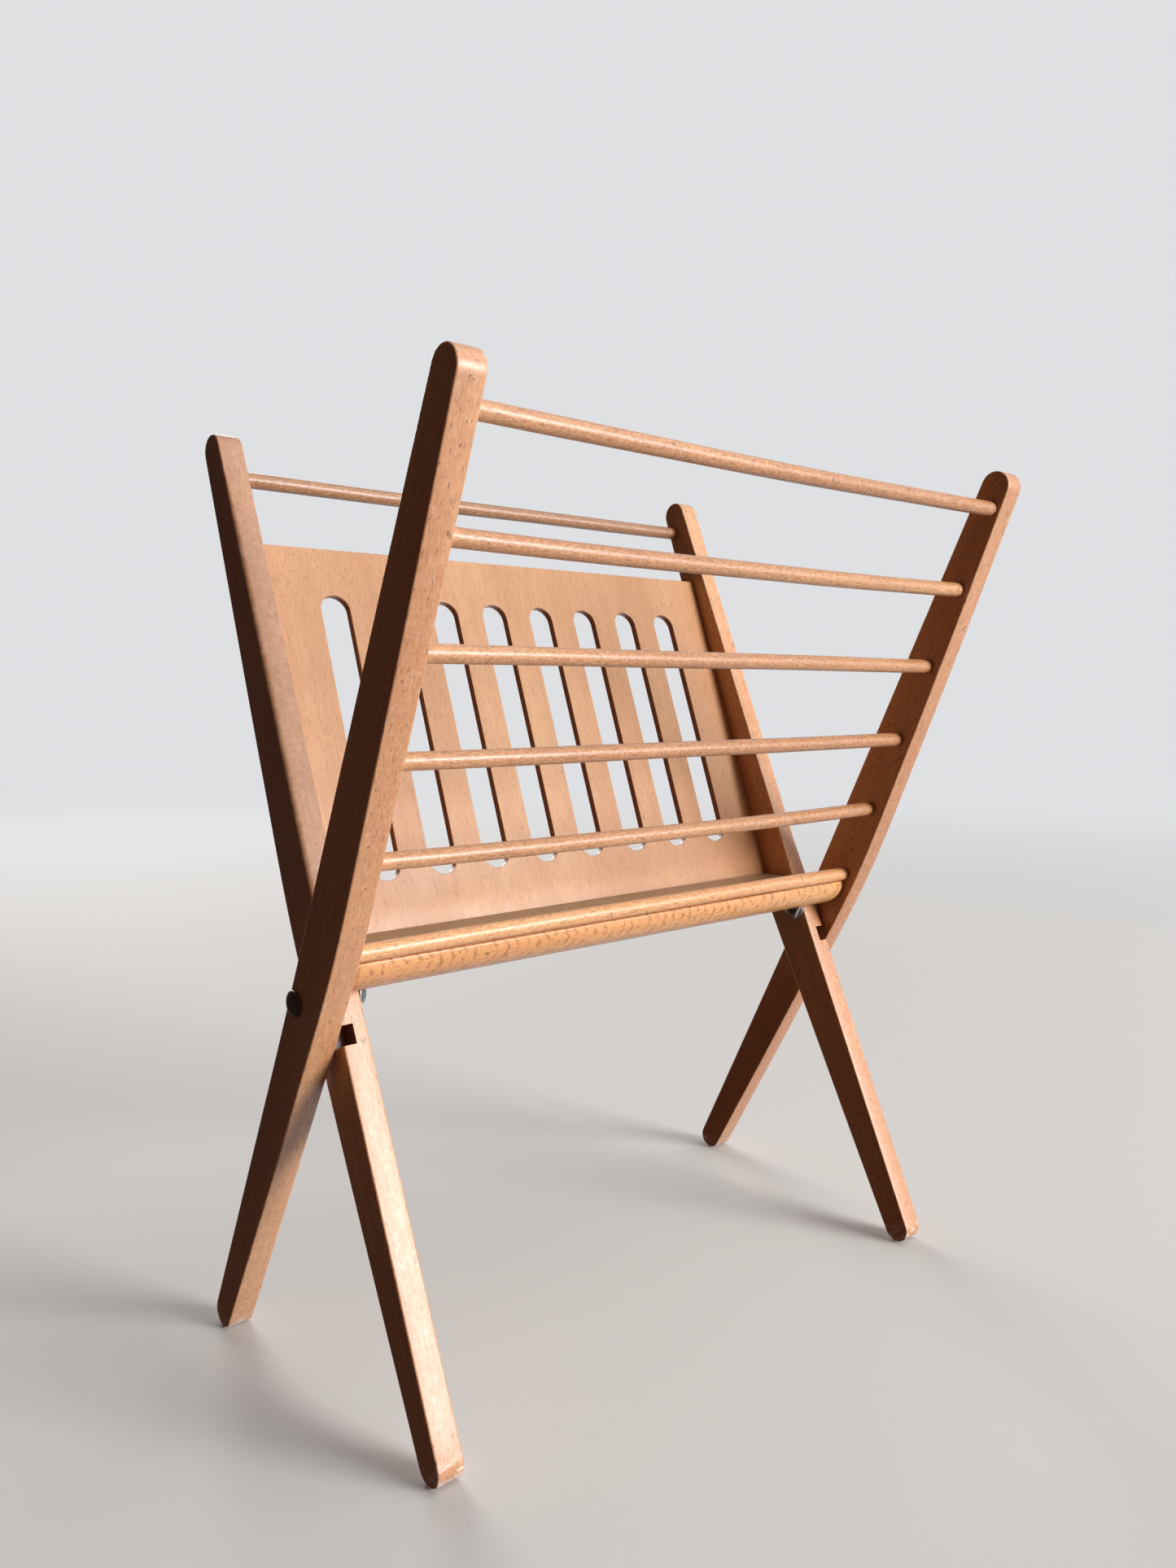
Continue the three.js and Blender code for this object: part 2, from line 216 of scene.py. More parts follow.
def finish_piece(mesh_data, name, matrix, body, nodes, material, smooth_angle=35):
    """Puts a mesh in the scene, ties it to its body, gives it its material and hides the CAD nodes that it
    replaces.

    The mesh comes in the piece's own axes, which its material needs for the grain, so they are kept on its
    points as the attribute "own". Then the points are moved to their places in the row frame.
    """
    own = mesh_data.attributes.new("own", "FLOAT_VECTOR", "POINT")
    for vert, kept in zip(mesh_data.vertices, own.data):
        kept.vector = vert.co
    mesh_data.transform(matrix)
    obj = bpy.data.objects.new(name, mesh_data)
    bpy.context.scene.collection.objects.link(obj)
    mesh_data.materials.clear()
    mesh_data.materials.append(material)
    for polygon in mesh_data.polygons:
        polygon.use_smooth = True
    mesh_data.set_sharp_from_angle(angle=math.radians(smooth_angle))
    bpy.context.view_layer.update()
    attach(obj, body)
    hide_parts(*nodes)
    return obj


def rings_to_mesh(name, rings, wear=None, close_ends=True):
    """Skins a list of closed rings of points, all of the same length, into one mesh.

    wear gives each ring a number that is kept on its points as the attribute "wear".
    """
    mesh = bmesh.new()
    layer = mesh.verts.layers.float.new("wear")
    made = []
    for index, ring in enumerate(rings):
        verts = []
        for point in ring:
            vert = mesh.verts.new(point)
            vert[layer] = wear[index] if wear else 0.0
            verts.append(vert)
        made.append(verts)
    for low, high in zip(made, made[1:]):
        for k in range(len(low)):
            after = (k + 1) % len(low)
            mesh.faces.new((low[k], low[after], high[after], high[k]))
    if close_ends:
        mesh.faces.new(list(reversed(made[0])))
        mesh.faces.new(made[-1])
    bmesh.ops.recalc_face_normals(mesh, faces=mesh.faces)
    data = bpy.data.meshes.new(name)
    mesh.to_mesh(data)
    mesh.free()
    return data


def carved(data, cutters):
    """The mesh with each cutter mesh taken out of it, with an exact boolean."""
    scene = bpy.context.scene
    base = bpy.data.objects.new("blank", data)
    scene.collection.objects.link(base)
    tools = []
    for index, cutter in enumerate(cutters):
        tool = bpy.data.objects.new(f"cutter_{index}", cutter)
        scene.collection.objects.link(tool)
        tools.append(tool)
        modifier = base.modifiers.new(f"cut_{index}", "BOOLEAN")
        modifier.operation = "DIFFERENCE"
        modifier.solver = "EXACT"
        modifier.object = tool
    bpy.context.view_layer.update()
    evaluated = base.evaluated_get(bpy.context.evaluated_depsgraph_get())
    result = bpy.data.meshes.new_from_object(evaluated)
    for obj in [base, *tools]:
        bpy.data.objects.remove(obj)
    return result


def box_mesh(low, high):
    mesh = bmesh.new()
    corners = bmesh.ops.create_cube(mesh, size=1)["verts"]
    for vert in corners:
        for axis in range(3):
            vert.co[axis] = (low[axis] if vert.co[axis] < 0 else high[axis]) * MM
    data = bpy.data.meshes.new("box_cutter")
    mesh.to_mesh(data)
    mesh.free()
    return data


def circle(radius, x, steps):
    """A ring of points about the X axis, in metres from millimetres."""
    points = []
    for step in range(steps):
        angle = 2 * math.pi * step / steps
        points.append(Vector((x, radius * math.cos(angle), radius * math.sin(angle))) * MM)
    return points


def looped_mesh(name, rings):
    """Skins rings into a mesh whose last ring meets its first, as round a bore."""
    data = rings_to_mesh(name, [*rings, rings[0]], close_ends=False)
    mesh = bmesh.new()
    mesh.from_mesh(data)
    bmesh.ops.remove_doubles(mesh, verts=mesh.verts, dist=WELD_DISTANCE)
    bmesh.ops.recalc_face_normals(mesh, faces=mesh.faces)
    mesh.to_mesh(data)
    mesh.free()
    return data


def turned_mesh(name, profile, steps=TURNED_SIDES, has_bore=False):
    """A body of revolution about X from (x, radius) pairs in millimetres."""
    rings = [circle(radius, x, steps) for x, radius in profile]
    return looped_mesh(name, rings) if has_bore else rings_to_mesh(name, rings)


def quadratic(start, corner, end, t):
    """The point at t, from 0 to 1, on a bend from start to end that is drawn towards a corner."""
    return tuple((1 - t) ** 2 * start[k] + 2 * t * (1 - t) * corner[k] + t ** 2 * end[k] for k in range(2))


# ---- Boards ----

def spline_points(points, steps):
    """A smooth line through points, the same curve that the frame's boards are drawn with."""
    out = []
    for index in range(len(points) - 1):
        before = points[max(index - 1, 0)]
        start = points[index]
        end = points[index + 1]
        after = points[min(index + 2, len(points) - 1)]
        for step in range(steps):
            t = step / steps
            out.append(tuple(catmull(before[k], start[k], end[k], after[k], t) for k in range(2)))
    return out


def catmull(before, start, end, after, t):
    start_slope = (end - before) / 2
    end_slope = (after - start) / 2
    cubic = 2 * start - 2 * end + start_slope + end_slope
    square = -3 * start + 3 * end - 2 * start_slope - end_slope
    return cubic * t ** 3 + square * t ** 2 + start_slope * t + start


def arc_points(centre, radius, start_deg, end_deg):
    """Points (u, v) round a centre; 0 degrees points to the belly and 90 up the board."""
    points = []
    for step in range(ARC_STEPS + 1):
        angle = math.radians(start_deg + (end_deg - start_deg) * step / ARC_STEPS)
        points.append((centre[0] + radius * math.sin(angle), centre[1] + radius * math.cos(angle)))
    return points


def bend_points(start, corner, end, steps):
    return [quadratic(start, corner, end, step / steps) for step in range(steps + 1)]


def toward(start, end, distance):
    whole = math.dist(start, end)
    return tuple(start[k] + (end[k] - start[k]) * distance / whole for k in range(2))


def straight_points(start, end, steps):
    """Even points between start and end, without the two themselves."""
    points = []
    for step in range(1, steps):
        points.append(tuple(start[k] + (end[k] - start[k]) * step / steps for k in range(2)))
    return points


def board_outline(tip_u, foot):
    """The board's outline as (u, v) points: foot, belly, tip, then back down the waist side."""
    foot_arc = arc_points(foot, FOOT_RADIUS, -180, 0)
    belly = spline_points([foot_arc[-1], *BELLY, (tip_u, TIP_V + TIP_RADIUS)], SPLINE_STEPS)
    tip_arc = arc_points((tip_u, TIP_V), TIP_RADIUS, 0, 180)
    bend_top = toward(WAIST, tip_arc[-1], WAIST_BLEND[1])
    bend_foot = toward(WAIST, foot_arc[0], WAIST_BLEND[0])
    upper = straight_points(tip_arc[-1], bend_top, UPPER_STEPS)
    bend = bend_points(bend_top, WAIST, bend_foot, ARC_STEPS)
    lower = straight_points(bend_foot, foot_arc[0], LOWER_STEPS)
    return foot_arc + belly[1:] + tip_arc + upper + bend + lower


def inward_normals(outline):
    normals = []
    count = len(outline)
    for k in range(count):
        before = outline[k - 1]
        after = outline[(k + 1) % count]
        du = after[0] - before[0]
        dv = after[1] - before[1]
        length = math.hypot(du, dv)
        normals.append((dv / length, -du / length))
    return normals


def face_rounding(outline, waist_radius):
    """The arris radius at each outline point: worn along the waist side above the pivot, crisp elsewhere."""
    radii = []
    for u, v in outline:
        fade_in = min(1, max(0, (u - WORN_FROM) / WORN_FADE_IN))
        fade_out = min(1, max(0, (WORN_TO - u) / WORN_FADE_OUT))
        worn = fade_in * fade_out if v < WAIST_SIDE else 0
        radii.append(ARRIS + (waist_radius - ARRIS) * worn)
    return radii


def board_mesh(name, thickness, tip_u, foot, radius_low, radius_high):
    """A board with rounded arrises. The radii are those of its waist side's arris at low and high X."""
    outline = board_outline(tip_u, foot)
    normals = inward_normals(outline)
    sides = [(-1, face_rounding(outline, radius_low)), (1, face_rounding(outline, radius_high))]
    rings = []
    wear = []
    for sign, radii in sides:
        half = []
        for step in range(-1, ARRIS_STEPS + 1):      # step -1 is the inner edge of the wear, on the face
            ring = []
            for (u, v), (nu, nv), radius in zip(outline, normals, radii):
                angle = math.pi / 2 * max(step, 0) / ARRIS_STEPS
                inset = radius * (1 - math.sin(angle)) + (WEAR_BAND if step < 0 else 0)
                x = sign * (thickness / 2 - radius * (1 - math.cos(angle)))
                ring.append(Vector((x, v + nv * inset, u + nu * inset)) * MM)
            half.append((ring, 0.0 if step < 0 else 1.0 - 0.25 * abs(step - ARRIS_STEPS / 2)))
        if sign > 0:
            half.reverse()
        rings.extend(ring for ring, _ in half)
        wear.extend(amount for _, amount in half)
    return rings_to_mesh(name, rings, wear)


def pivot_cutter(thickness, bore):
    return turned_mesh("bore_cutter", [(-thickness, bore / 2), (thickness, bore / 2)], BORE_SIDES)


def build_board(name, body, side, tops_lean, material):
    matrix, tip_u, foot = board_frame(name, tops_lean)
    thickness = size(name).x / MM
    across = matrix.col[0].x             # +1 or -1: which way the board's own X points in the row frame
    radii = {-1: ARRIS, 1: ARRIS}
    cutters = [pivot_cutter(thickness, WASHER_BORE)]
    notch = None
    if body == "inner_frame":
        outer_sign = 1 if side * across > 0 else -1
        radii[outer_sign] = WORN_ARRIS
        near = outer_sign * (thickness / 2 - NOTCH_WIDTH)
        far = outer_sign * thickness
        low = (min(near, far), -4 * NOTCH_FLOOR, -NOTCH_BELOW_PIVOT - NOTCH_HEIGHT / 2)
        high = (max(near, far), NOTCH_FLOOR, -NOTCH_BELOW_PIVOT + NOTCH_HEIGHT / 2)
        cutters.append(box_mesh(low, high))
        notch = (low, high)
    data = board_mesh(name, thickness, tip_u, foot, radii[-1], radii[1])
    data = carved(data, cutters)
    notch_faces = [face.index for face in data.polygons if notch and lies_inside(face.center / MM, *notch)]
    obj = finish_piece(data, f"look_{name}", matrix, body, [name], material)
    if notch:
        # the notch's faces get a dark material: painted shade in the recess
        obj.data.materials.append(notch_shade_beech(f"notch_{name}", SEEDS["notch"] + side))
    for index in notch_faces:
        obj.data.polygons[index].material_index = 1
    return obj


def lies_inside(point, low, high, slack=0.05):
    return all(low[axis] - slack < point[axis] < high[axis] + slack for axis in range(3))


# ---- Rungs ----

def build_rung(name, body, material):
    """A dowel with the slight bend and wobble that old dowels take."""
    chance = random.Random(name)
    extent = size(name)
    half = extent.x / 2 / MM
    radius = extent.z / 2 / MM
    sag = RUNG_SAG[name]
    sway = chance.uniform(-RUNG_SWAY, RUNG_SWAY)
    wobble = chance.uniform(0, 2 * math.pi)
    rings = []
    for index in range(RUNG_RINGS + 1):
        t = 2 * index / RUNG_RINGS - 1
        bend = 1 - t * t                             # 0 at both ends and 1 at mid-span
        lift = (sag + RUNG_WAVE * math.sin(5 * t + wobble)) * bend
        drift = sway * bend
        here = radius * (1 - RUNG_THINNING * (1 + math.sin(9 * t + wobble)))
        ring = [
            Vector((point.x, point.y + drift * MM, point.z + lift * MM))
            for point in circle(here, half * t, RUNG_SIDES)
        ]
        rings.append(ring)
    data = rings_to_mesh(name, rings)
    place = Matrix.Translation(middle(name))
    return finish_piece(data, f"look_{name}", place, body, [name], material)


# ---- Panel ----

def panel_frame():
    """The panel's own axes: X across, Y up its face, Z out of its front; origin at its middle.

    Gives the matrix, and the panel's width and height in millimetres.
    """
    low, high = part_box("slotted_panel")
    up = Vector((0, math.sin(PANEL_LEAN), math.cos(PANEL_LEAN)))
    front = Vector((0, -math.cos(PANEL_LEAN), math.sin(PANEL_LEAN)))
    height = (high.z - low.z - PANEL_THICKNESS * MM * math.sin(PANEL_LEAN)) / math.cos(PANEL_LEAN)
    centre = (low + high) / 2
    matrix = Matrix((Vector((1, 0, 0)), up, front)).transposed().to_4x4()
    matrix.translation = centre
    return matrix, (high.x - low.x) / MM, height / MM


def closed_spline(curve, points):
    spline = curve.splines.new("POLY")
    spline.points.add(len(points) - 1)
    for point, (x, y) in zip(spline.points, points):
        point.co = (x * MM, y * MM, 0, 1)
    spline.use_cyclic_u = True


def slot_outline(x, top, bottom):
    radius = SLOT_WIDTH / 2
    points = []
    for centre, turn in ((top - radius, 0), (bottom + radius, math.pi)):
        for step in range(SLOT_END_STEPS + 1):
            angle = turn + math.pi * step / SLOT_END_STEPS
            points.append((x + radius * math.cos(angle), centre + radius * math.sin(angle)))
    return points


def build_panel(material):
    matrix, width, height = panel_frame()
    curve = bpy.data.curves.new("panel_curve", "CURVE")
    curve.dimensions = "2D"
    curve.fill_mode = "BOTH"
    curve.extrude = (PANEL_THICKNESS / 2 - PANEL_EASE) * MM
    curve.bevel_depth = PANEL_EASE * MM
    curve.bevel_resolution = 2
    curve.offset = -PANEL_EASE * MM
    half_w = width / 2
    half_h = height / 2
    closed_spline(curve, [(-half_w, -half_h), (half_w, -half_h), (half_w, half_h), (-half_w, half_h)])
    top = half_h - SLOT_BELOW_TOP
    bottom = top - SLOT_LENGTH
    for index in range(SLOT_COUNT):
        x = (index - (SLOT_COUNT - 1) / 2) * SLOT_PITCH
        closed_spline(curve, slot_outline(x, top, bottom))
    holder = bpy.data.objects.new("panel_curve", curve)
    bpy.context.scene.collection.objects.link(holder)
    bpy.context.view_layer.update()
    evaluated = holder.evaluated_get(bpy.context.evaluated_depsgraph_get())
    data = bpy.data.meshes.new_from_object(evaluated)
    bpy.data.objects.remove(holder)
    return finish_piece(
        data, "look_slotted_panel", matrix, "inner_frame", ["slotted_panel"], material, 30
    )


# ---- Rails ----

def eased(section, ease):
    """Rounds the corners of a closed (y, z) section."""
    points = []
    count = len(section)
    for k in range(count):
        corner = section[k]
        before = section[k - 1]
        after = section[(k + 1) % count]
        reach = min(ease, math.dist(corner, before) / 2.2, math.dist(corner, after) / 2.2)
        start = toward(corner, before, reach)
        end = toward(corner, after, reach)
        points.extend(bend_points(start, corner, end, EASE_STEPS))
    return points


def swept_rail(name, section, half, end_ease):
    """A section (y, z) in millimetres swept along X, with its ends slightly eased."""
    middle_y = sum(y for y, _ in section) / len(section)
    middle_z = sum(z for _, z in section) / len(section)
    near_end = [(-half, end_ease), (-half + end_ease * 0.3, end_ease * 0.3), (-half + end_ease, 0)]
    span = 2 * half - 2 * end_ease
    inner = [(-half + end_ease + span * k / RAIL_STATIONS, 0) for k in range(1, RAIL_STATIONS)]
    stations = near_end + inner + [(-x, shrink) for x, shrink in reversed(near_end)]
    rings = []
    wear = []
    for x, shrink in stations:
        ring = []
        for y, z in section:
            reach = math.hypot(y - middle_y, z - middle_z)
            keep = 1 - shrink / reach
            ring.append(Vector((x, middle_y + (y - middle_y) * keep, middle_z + (z - middle_z) * keep)) * MM)
        rings.append(ring)
        wear.append(1.0 if shrink else 0.0)
    return rings_to_mesh(name, rings, wear)


def build_front_rail(material):
    low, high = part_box("front_rail")
    centre = (low + high) / 2
    depth = (high.y - low.y) / MM
    height = (high.z - low.z) / MM
    front = -depth / 2
    top = height / 2
    lean = math.atan2(depth_of_back("front_rail"), height)
    back_low = depth / 2 - height * math.tan(lean)
    band_foot = (front, top - RAIL_BAND)
    back_foot = (back_low, -top)
    swell = (front + RAIL_SWELL[0], -top + RAIL_SWELL[1])
    under = bend_points(band_foot, swell, back_foot, RAIL_ROUND_STEPS)[1:-1]
    corners = eased([(depth / 2, top), (front, top), band_foot, back_foot], RAIL_EASE)
    each = EASE_STEPS + 1                            # points that easing makes of one corner
    section = corners[:2 * each] + [band_foot] + under + corners[3 * each:]
    data = swept_rail("front_rail", section, (high.x - low.x) / 2 / MM, RAIL_END_EASE)
    place = Matrix.Translation(centre)
    nodes = ["front_rail"]
    return finish_piece(data, "look_front_rail", place, "inner_frame", nodes, material)


def depth_of_back(node):
    """How far, in millimetres, a rail's back leans over the rail's height: the inner boards' own lean."""
    matrix, _, _ = board_frame("inner_board_left", 1)
    up = matrix.col[2]
    return size(node).z / MM * abs(up.y / up.z)


def build_floor_rail(material):
    low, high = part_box("floor_rail")
    centre = (low + high) / 2
    depth = (high.y - low.y) / MM
    height = (high.z - low.z) / MM
    slant = height * math.tan(PANEL_LEAN)
    section = eased([
        (depth / 2, height / 2),
        (-depth / 2, height / 2),
        (-depth / 2, -height / 2),
        (depth / 2 - slant, -height / 2),
    ], FLOOR_RAIL_EASE)
    data = swept_rail("floor_rail", section, (high.x - low.x) / 2 / MM, FLOOR_RAIL_END_EASE)
    place = Matrix.Translation(centre)
    nodes = ["floor_rail"]
    return finish_piece(data, "look_floor_rail", place, "inner_frame", nodes, material)


# ---- Hardware ----

def facing(side, x, angle=0.0):
    """Axes for a piece drawn along +X, placed on the pivot line at x and pointing to the rack's middle."""
    turn = Matrix.Rotation(0 if side < 0 else math.pi, 4, "Z")
    return Matrix.Translation(Vector((x, PIVOT.y, PIVOT.z))) @ Matrix.Rotation(angle, 4, "X") @ turn


def build_bolt(name, side, material):
    low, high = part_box(name)
    length = (high.x - low.x) / MM
    head_radius = (high.z - low.z) / 2 / MM
    profile = []
    for step in range(1, DOME_STEPS + 1):
        angle = math.pi / 2 * step / DOME_STEPS
        profile.append((BOLT_DOME * (1 - math.cos(angle)), head_radius * math.sin(angle)))
    head = BOLT_DOME + BOLT_RIM
    profile += [
        (head - 0.1, head_radius),
        (head, head_radius - 0.2),
        (head, BOLT_NECK / 2),
        (head + BOLT_NECK_DEPTH, BOLT_NECK / 2),
        (head + BOLT_NECK_DEPTH + 0.4, BOLT_SHANK / 2),
        (length - BOLT_TIP_CHAMFER[0], BOLT_SHANK / 2),
        (length, BOLT_SHANK / 2 - BOLT_TIP_CHAMFER[1]),
    ]
    data = turned_mesh(name, profile)
    outer_x = low.x if side < 0 else high.x
    matrix = facing(side, outer_x)
    return finish_piece(data, f"look_{name}", matrix, "outer_frame", [name], material, 40)


def build_washer(name, side, body, material):
    low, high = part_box(name)
    thickness = (high.x - low.x) / MM
    radius = (high.z - low.z) / 2 / MM
    bore = WASHER_BORE / 2
    profile = [
        (0, bore),
        (0, radius - WASHER_ROUND),
        (WASHER_ROUND, radius),
        (thickness - WASHER_ROUND, radius),
        (thickness, radius - WASHER_ROUND),
        (thickness, bore + WASHER_EDGE),
        (thickness - WASHER_EDGE, bore),
    ]
    data = turned_mesh(name, profile, has_bore=True)
    outer_x = low.x if side < 0 else high.x
    matrix = facing(side, outer_x)
    return finish_piece(data, f"look_{name}", matrix, body, [name], material, 40)


def square_reach(angle):
    """How far the nut's flat side is from its axis in a direction."""
    return NUT_ACROSS / 2 / max(abs(math.cos(angle)), abs(math.sin(angle)))


def build_nut(name, side, angle, material):
    """A square nut: its outer corners are chamfered by a cone, which leaves curved edges on its flats."""
    low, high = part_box(name)
    thickness = (high.x - low.x) / MM
    half = NUT_ACROSS / 2
    bore = BOLT_SHANK / 2 + NUT_PLAY
    angles = [2 * math.pi * step / NUT_SIDES for step in range(NUT_SIDES)]
    rings = []

    def ring(radius_at, x_at):
        rings.append([
            Vector((x_at(a), radius_at(a) * math.cos(a), radius_at(a) * math.sin(a))) * MM for a in angles
        ])

    def side_top(a):
        return thickness - (square_reach(a) - half) * math.tan(NUT_CHAMFER)

    ring(lambda a: bore, lambda a: 0)
    ring(square_reach, lambda a: 0)
    ring(square_reach, side_top)
    ring(lambda a: half - NUT_EDGE, lambda a: thickness)
    ring(lambda a: bore + NUT_COUNTERSINK, lambda a: thickness)
    ring(lambda a: bore, lambda a: thickness - NUT_COUNTERSINK)
    data = looped_mesh(name, rings)
    outer_x = low.x if side < 0 else high.x
    matrix = facing(side, outer_x, angle)
    obj = finish_piece(data, f"look_{name}", matrix, "outer_frame", [name], material, 30)
    bevel = obj.modifiers.new("eased", "BEVEL")
    bevel.width = NUT_BEVEL * MM
    bevel.segments = 2
    bevel.limit_method = "ANGLE"
    bevel.angle_limit = math.radians(25)
    return obj


# ---- Materials ----

class Shader:
    """A material's node tree with short ways to add and join nodes."""

    def __init__(self, name):
        self.material = bpy.data.materials.new(name)
        self.material.use_nodes = True
        self.tree = self.material.node_tree
        self.tree.nodes.clear()
        self.surface = self.node("ShaderNodeBsdfPrincipled")
        output = self.node("ShaderNodeOutputMaterial")
        self.join(self.surface.outputs["BSDF"], output.inputs["Surface"])
        self.coords = self.node("ShaderNodeTexCoord")
        self.place = self.node("ShaderNodeAttribute", attribute_name="own").outputs["Vector"]

    def node(self, kind, **settings):
        made = self.tree.nodes.new(kind)
        for key, value in settings.items():
            setattr(made, key, value)
        return made

    def join(self, source, target):
        self.tree.links.new(source, target)

    def feed(self, target, value):
        """Sets a socket to a number or colour, or joins another node's output to it."""
        if isinstance(value, bpy.types.NodeSocket):
            self.join(value, target)
        else:
            target.default_value = value

    def noise(self, scale, shift, detail, rough, twist=0.0):
        """Noise over the piece's own coordinates: the higher the scale on an axis, the finer the pattern."""
        mapping = self.node("ShaderNodeMapping")
        self.join(self.place, mapping.inputs["Vector"])
        mapping.inputs["Location"].default_value = shift
        mapping.inputs["Scale"].default_value = scale
        made = self.node("ShaderNodeTexNoise")
        self.join(mapping.outputs["Vector"], made.inputs["Vector"])
        made.inputs["Scale"].default_value = 1.0
        made.inputs["Detail"].default_value = detail
        made.inputs["Roughness"].default_value = rough
        made.inputs["Distortion"].default_value = twist
        return made.outputs["Fac"]

    def range(self, value, low, high, to_low=0.0, to_high=1.0):
        """Spreads the part of value between low and high over a new range."""
        made = self.node("ShaderNodeMapRange")
        self.feed(made.inputs["Value"], value)
        made.inputs["From Min"].default_value = low
        made.inputs["From Max"].default_value = high
        made.inputs["To Min"].default_value = to_low
        made.inputs["To Max"].default_value = to_high
        return made.outputs["Result"]

    def math(self, kind, first, second=0.0):
        made = self.node("ShaderNodeMath", operation=kind)
        self.feed(made.inputs[0], first)
        self.feed(made.inputs[1], second)
        return made.outputs["Value"]

    def mix(self, amount, first, second):
        made = self.node("ShaderNodeMix", data_type="RGBA")
        self.feed(made.inputs["Factor"], amount)
        self.feed(made.inputs["A"], first)
        self.feed(made.inputs["B"], second)
        return made.outputs["Result"]

    def own(self, axis):
        """One of the piece's own coordinates, in metres."""
        split = self.node("ShaderNodeSeparateXYZ")
        self.join(self.place, split.inputs["Vector"])
        return split.outputs[axis]

    def wear(self):
        return self.node("ShaderNodeAttribute", attribute_name="wear").outputs["Fac"]

    def facing(self, direction):
        """How squarely the surface faces along a direction of the row frame, either way, from 0 to 1."""
        dot = self.node("ShaderNodeVectorMath", operation="DOT_PRODUCT")
        self.join(self.coords.outputs["Normal"], dot.inputs[0])
        dot.inputs[1].default_value = direction
        return self.math("ABSOLUTE", dot.outputs["Value"])

    def bump(self, height, strength, distance):
        made = self.node("ShaderNodeBump")
        self.join(height, made.inputs["Height"])
        made.inputs["Strength"].default_value = strength
        made.inputs["Distance"].default_value = distance * MM
        self.join(made.outputs["Normal"], self.surface.inputs["Normal"])


def rgb(red, green, blue):
    """A screen colour (0 to 255) as the linear colour that shaders take."""
    def linear(value):
        value = value / 255
        return value / 12.92 if value <= 0.04045 else ((value + 0.055) / 1.055) ** 2.4
    return (linear(red), linear(green), linear(blue), 1.0)


RUBBED_WOOD = rgb(240, 208, 176)
DIRT = rgb(84, 46, 32)
PALE_RAY = rgb(246, 206, 168)
SCUFFED_WOOD = rgb(226, 212, 200)
# painted shade for the upper part of one inner board
UPPER_PAINTED_SHADE = rgb(148, 106, 80)
DARK_SPECK = rgb(128, 78, 48)
PALE_SPECK = rgb(240, 196, 152)
ARC_BROWN = rgb(146, 86, 42)
PANEL_SMUDGE = rgb(120, 82, 60)


def opposite(shift):
    return [-part for part in shift]


def grain_scale(grain_axis, across, along):
    scale = [across, across, across]
    scale[grain_axis] = along
    return scale


def beech(name, seed, tone, deep, fleck, grain_axis, end_grain=False, extra=None):
    """Lacquered beech: soft streaks, short dark pores, worn arrises and a satin, slightly uneven lacquer.

    extra(shader, colour, shift) may add a figure of its own to the colour.
    """
    chance = random.Random(seed)
    shift = [chance.uniform(-3, 3) for _ in range(3)]
    shader = Shader(name)
    broad = shader.noise(grain_scale(grain_axis, 26, 3), shift, 2, 0.5)
    streak = shader.noise(grain_scale(grain_axis, 420, 9), shift, 4, 0.6, 0.4)
    fine = shader.noise(grain_scale(grain_axis, 1500, 70), shift, 3, 0.6)
    short = shader.noise(grain_scale(grain_axis, 1100, 260), shift, 1, 0.5)

    colour = shader.mix(shader.range(broad, 0.32, 0.68), tone, deep)
    colour = shader.mix(shader.range(streak, 0.38, 0.70, 0, 0.5), colour, deep)
    colour = shader.mix(shader.range(fine, 0.40, 0.75, 0, 0.3), colour, fleck)
    pores = shader.range(short, 0.63, 0.70, 0, 0.6)
    colour = shader.mix(pores, colour, fleck)
    if extra:
        colour = extra(shader, colour, shift)
    if end_grain:
        ends = shader.range(shader.facing((1, 0, 0)), 0.7, 0.95)
        rings = shader.noise((420, 420, 420), shift, 3, 0.7)
        dark_end = shader.math("MULTIPLY", ends, shader.range(rings, 0.3, 0.7, 0.35, 0.75))
        colour = shader.mix(dark_end, colour, fleck)
    blotch = shader.noise((240, 240, 240), shift, 3, 0.65)
    rubbed = shader.math("MULTIPLY", shader.wear(), shader.range(blotch, 0.46, 0.66, 0.04, 0.3))
    colour = shader.mix(rubbed, colour, RUBBED_WOOD)
    dirt = shader.noise((190, 190, 190), opposite(shift), 2, 0.6)
    spots = shader.range(dirt, 0.70, 0.73, 0, 0.55)
    colour = shader.mix(spots, colour, DIRT)
    shader.join(colour, shader.surface.inputs["Base Color"])

    sheen = shader.range(blotch, 0.3, 0.7, 0.36, 0.5)
    ridges = shader.range(fine, 0.3, 0.7, -0.03, 0.05)
    shader.join(shader.math("ADD", sheen, ridges), shader.surface.inputs["Roughness"])
    shader.surface.inputs["Coat Weight"].default_value = 0.32
    shader.surface.inputs["Coat Roughness"].default_value = 0.28
    height = shader.math("ADD", shader.math("MULTIPLY", fine, 0.6), shader.math("MULTIPLY", streak, 0.4))
    height = shader.math("SUBTRACT", height, shader.math("MULTIPLY", pores, 0.5))
    shader.bump(height, 0.4, 0.12)
    return shader.material


def ray_dashes(shader, colour, shift):
    """The small pale dashes that beech shows on the boards' narrow edges."""
    narrow = shader.range(shader.facing((1, 0, 0)), 0.4, 0.7, 1, 0)
    dash = shader.noise((1100, 1100, 230), opposite(shift), 1, 0.4)
    pale = shader.range(dash, 0.60, 0.70, 0, 0.2)
    return shader.mix(shader.math("MULTIPLY", narrow, pale), colour, PALE_RAY)


